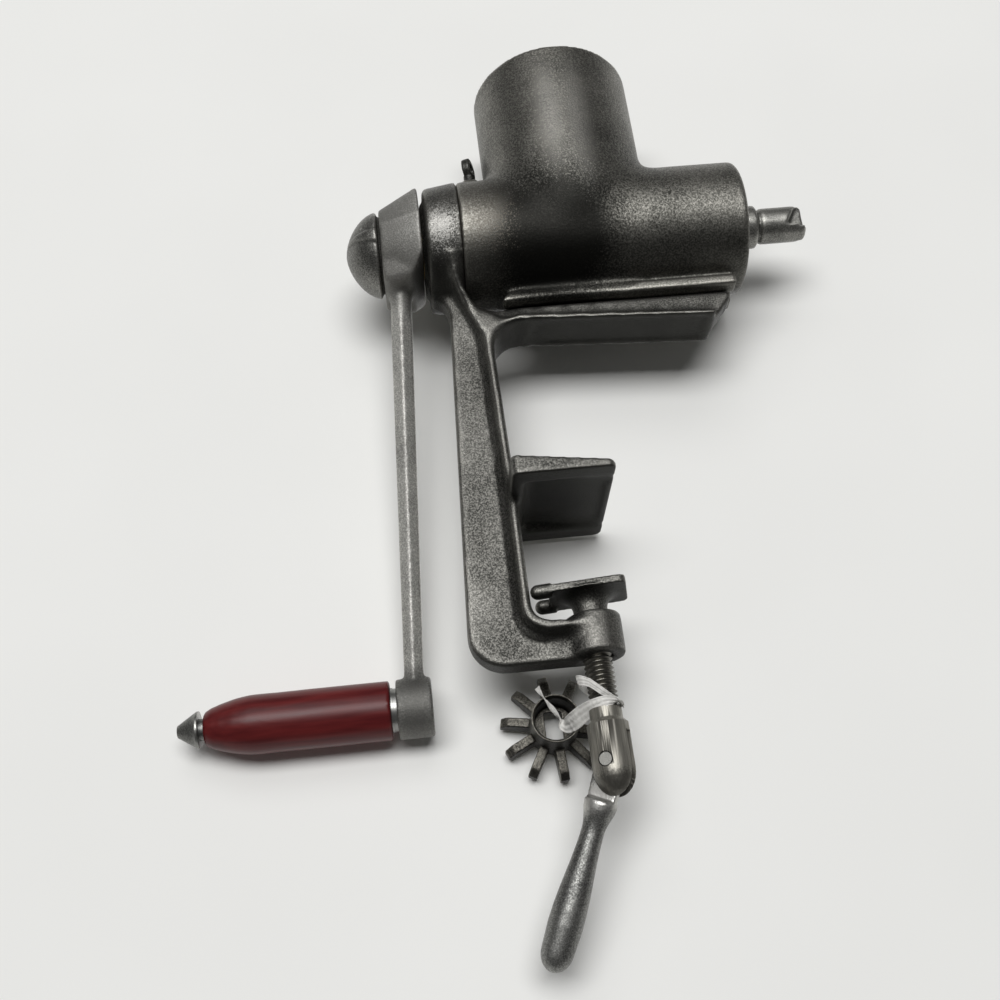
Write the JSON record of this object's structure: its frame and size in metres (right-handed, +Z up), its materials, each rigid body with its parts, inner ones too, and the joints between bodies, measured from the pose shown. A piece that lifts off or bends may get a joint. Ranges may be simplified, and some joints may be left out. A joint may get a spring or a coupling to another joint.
{
  "type": "manual meat grinder",
  "caption": "Hand cranked meat grinder with an upright hopper over a horizontal barrel, a C shaped table clamp with drop handle screw, a long crank with a red wooden grip and tied star cutter.",
  "frame": {"origin": "where the axis of the clamp screw meets the gripping plane of the upper jaw", "axes": "+X along the barrel towards the outlet, +Z up to the hopper, +Y completes the right handed frame; the crank is on the -X side"},
  "size_m": [0.2819, 0.0714, 0.3804],
  "materials": {
    "cast_metal": "matt, granular, worn bright on the edges",
    "worn_casting": "satin, worn bright along the ridges",
    "dark_steel": "satin, dark",
    "worn_steel": "satin, dull, streaked",
    "bright_steel": "polished",
    "grey_steel": "turned, satin",
    "washer_steel": "plain",
    "bush_metal": "plain bearing bronze",
    "cutter_metal": "satin, with lighter tooth faces",
    "red_wood": "worn red paint",
    "white_paper": "matt, creased"
  },
  "bodies": {
    "frame": {"clamp_frame": "cast_metal", "hopper_barrel": "cast_metal", "shaft_bush": "bush_metal", "thrust_washer": "washer_steel", "cutter": "cutter_metal", "tie_strip": "white_paper"},
    "crank": {"feed_screw": "worn_steel", "crank_arm": "worn_casting", "crank_nose_screw": "cast_metal", "grip_spindle": "bright_steel", "grip_end_cone": "grey_steel", "grip_washer": "bright_steel"},
    "grip": {"crank_grip": "red_wood"},
    "pad": {"clamp_pad": "cast_metal"},
    "screw": {"clamp_screw": "worn_steel", "pad_keeper": "washer_steel", "handle_pin": "bright_steel"},
    "handle": {"drop_handle": "dark_steel"},
    "lock": {"lock_screw": "dark_steel"}
  },
  "joints": [
    {"name": "crank_turn", "type": "hinge", "parent": "frame", "child": "crank", "pos_m": [0, 0, 0.1285], "axis": [1, 0, 0], "continuous": true},
    {"name": "grip_spin", "type": "hinge", "parent": "crank", "child": "grip", "pos_m": [0, 0.02256, -0.06952], "axis": [1, 0, 0], "continuous": true},
    {"name": "clamp_travel", "type": "slide", "parent": "frame", "child": "pad", "axis": [0, 0, 1], "range_m": [0, 0.01633], "deforming": ["tie_strip"]},
    {"name": "screw_turn", "type": "hinge", "parent": "pad", "child": "screw", "pos_m": [0, 0, 0], "axis": [0, 0, 1], "range_deg": [0, 3241], "deforming": ["tie_strip"]},
    {"name": "handle_swing", "type": "hinge", "parent": "screw", "child": "handle", "pos_m": [0, 0, -0.1031], "axis": [0.4695, 0.8829, 0], "range_deg": [-92, 38]},
    {"name": "lock_turn", "type": "hinge", "parent": "frame", "child": "lock", "pos_m": [-0.0254, 0, 0.16], "axis": [0, 0, 1], "range_deg": [0, 360]}
  ],
  "couplings": [
    {"joint": "screw_turn", "follows": "clamp_travel", "rad_per_m": 3463.7}
  ]
}
